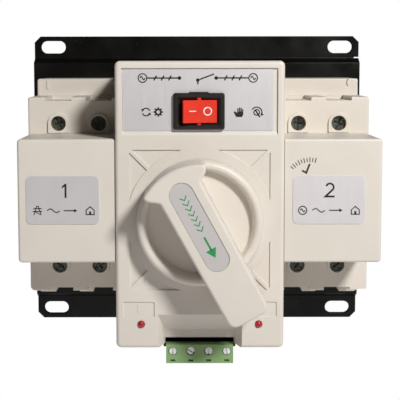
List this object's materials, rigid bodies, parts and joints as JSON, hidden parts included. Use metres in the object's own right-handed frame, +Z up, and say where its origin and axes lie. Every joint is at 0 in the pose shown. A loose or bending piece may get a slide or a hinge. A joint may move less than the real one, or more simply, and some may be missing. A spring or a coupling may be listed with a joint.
{
  "type": "manual transfer switch",
  "caption": "Wall-plate changeover switch: two 2-pole breakers thrown by one rotary handle or a gear motor, rocker mode switch, plug-in control terminals",
  "frame": {"origin": "middle of the four fixing slots, on the rear face of the base plate that lies on the wall", "axes": "+X to the right as seen from the front, +Y into the wall, +Z up"},
  "size_m": [0.164, 0.113, 0.1448],
  "materials": {
    "black_steel": "gloss black powder coat",
    "bright_steel": "zinc-plated",
    "dark_screw": "black-zinc plated",
    "box_cream": "fine satin moulded plastic",
    "unit_cream": "fine satin moulded plastic",
    "silver_label": "printed silver film",
    "black_nylon": "satin black nylon",
    "red_gloss": "gloss red plastic",
    "red_lamp": "red diffused lens",
    "brass": "plain",
    "copper": "plain copper",
    "white_acetal": "moulded acetal",
    "board_green": "solder-masked laminate",
    "relay_black": "satin black",
    "header_black": "satin black nylon",
    "plug_green": "satin green nylon"
  },
  "bodies": {
    "housing": {"base_plate": "black_steel", "base_plate_screws": "bright_steel", "board_relays": "relay_black", "central_base": "box_cream", "control_board": "board_green", "cover_screws": "bright_steel", "front_bush": "brass", "front_cover": "box_cream", "gear_motor": "bright_steel", "header_pins": "brass", "led_left": "red_lamp", "led_right": "red_lamp", "left_arc_chutes": "bright_steel", "left_breaker_base": "unit_cream", "left_breaker_cover": "unit_cream", "left_busbars": "copper", "left_label": "silver_label", "left_side_cover": "box_cream", "left_terminal_clamps": "bright_steel", "left_terminal_screws": "dark_screw", "left_toggle_pin": "bright_steel", "left_trip_coils": "copper", "limit_switches": "black_nylon", "mechanism_plate": "bright_steel", "mechanism_screws": "bright_steel", "panel_label": "silver_label", "rack_guides": "white_acetal", "rear_bush": "brass", "right_arc_chutes": "bright_steel", "right_breaker_base": "unit_cream", "right_breaker_cover": "unit_cream", "right_busbars": "copper", "right_label": "silver_label", "right_side_cover": "box_cream", "right_terminal_clamps": "bright_steel", "right_terminal_screws": "dark_screw", "right_toggle_pin": "bright_steel", "right_trip_coils": "copper", "rocker_housing": "black_nylon", "rocker_terminals": "brass", "terminal_header": "header_black"},
    "handle": {"handle": "box_cream", "handle_label": "silver_label", "handle_shaft": "bright_steel", "handle_screw": "bright_steel", "drive_gear": "white_acetal"},
    "left_rack": {"left_rack": "white_acetal"},
    "right_rack": {"right_rack": "white_acetal"},
    "left_toggle": {"left_toggle": "black_nylon", "left_tie_rod": "bright_steel", "left_contact_arms": "copper"},
    "right_toggle": {"right_toggle": "black_nylon", "right_tie_rod": "bright_steel", "right_contact_arms": "copper"},
    "motor_pinion": {"motor_pinion": "brass", "motor_shaft": "bright_steel"},
    "rocker": {"rocker": "red_gloss"},
    "terminal_plug": {"terminal_plug": "plug_green", "plug_screws": "bright_steel"}
  },
  "joints": [
    {"name": "left_rack_slide", "type": "slide", "parent": "housing", "child": "left_rack", "axis": [0, 0, 1], "range_m": [0, 0.01402]},
    {"name": "right_rack_slide", "type": "slide", "parent": "housing", "child": "right_rack", "axis": [0, 0, -1], "range_m": [0, 0.01402]},
    {"name": "handle_turn", "type": "hinge", "parent": "housing", "child": "handle", "pos_m": [0, -0.1, -0.006], "axis": [0, 1, 0], "range_deg": [0, 57.4]},
    {"name": "left_toggle_throw", "type": "hinge", "parent": "housing", "child": "left_toggle", "pos_m": [-0.0535, -0.054, 0], "axis": [-1, 0, 0], "range_deg": [0, 52]},
    {"name": "right_toggle_throw", "type": "hinge", "parent": "housing", "child": "right_toggle", "pos_m": [0.0535, -0.054, 0], "axis": [1, 0, 0], "range_deg": [0, 52]},
    {"name": "motor_turn", "type": "hinge", "parent": "housing", "child": "motor_pinion", "pos_m": [0, -0.0725, 0.016], "axis": [0, 1, 0], "range_deg": [-100.46, 0]},
    {"name": "rocker_tilt", "type": "hinge", "parent": "housing", "child": "rocker", "pos_m": [-0.00035, -0.092, 0.0392], "axis": [0, 0, -1], "range_deg": [0, 24]},
    {"name": "plug_pull", "type": "slide", "parent": "housing", "child": "terminal_plug", "axis": [0, 0, -1], "range_m": [0, 0.0105]}
  ],
  "couplings": [
    {"joint": "handle_turn", "follows": "left_rack_slide", "rad_per_m": 71.429},
    {"joint": "right_rack_slide", "follows": "left_rack_slide", "ratio": 1},
    {"joint": "left_toggle_throw", "follows": "left_rack_slide", "rad_per_m": 64.707},
    {"joint": "right_toggle_throw", "follows": "left_rack_slide", "rad_per_m": 64.707},
    {"joint": "motor_turn", "follows": "left_rack_slide", "rad_per_m": -125}
  ]
}
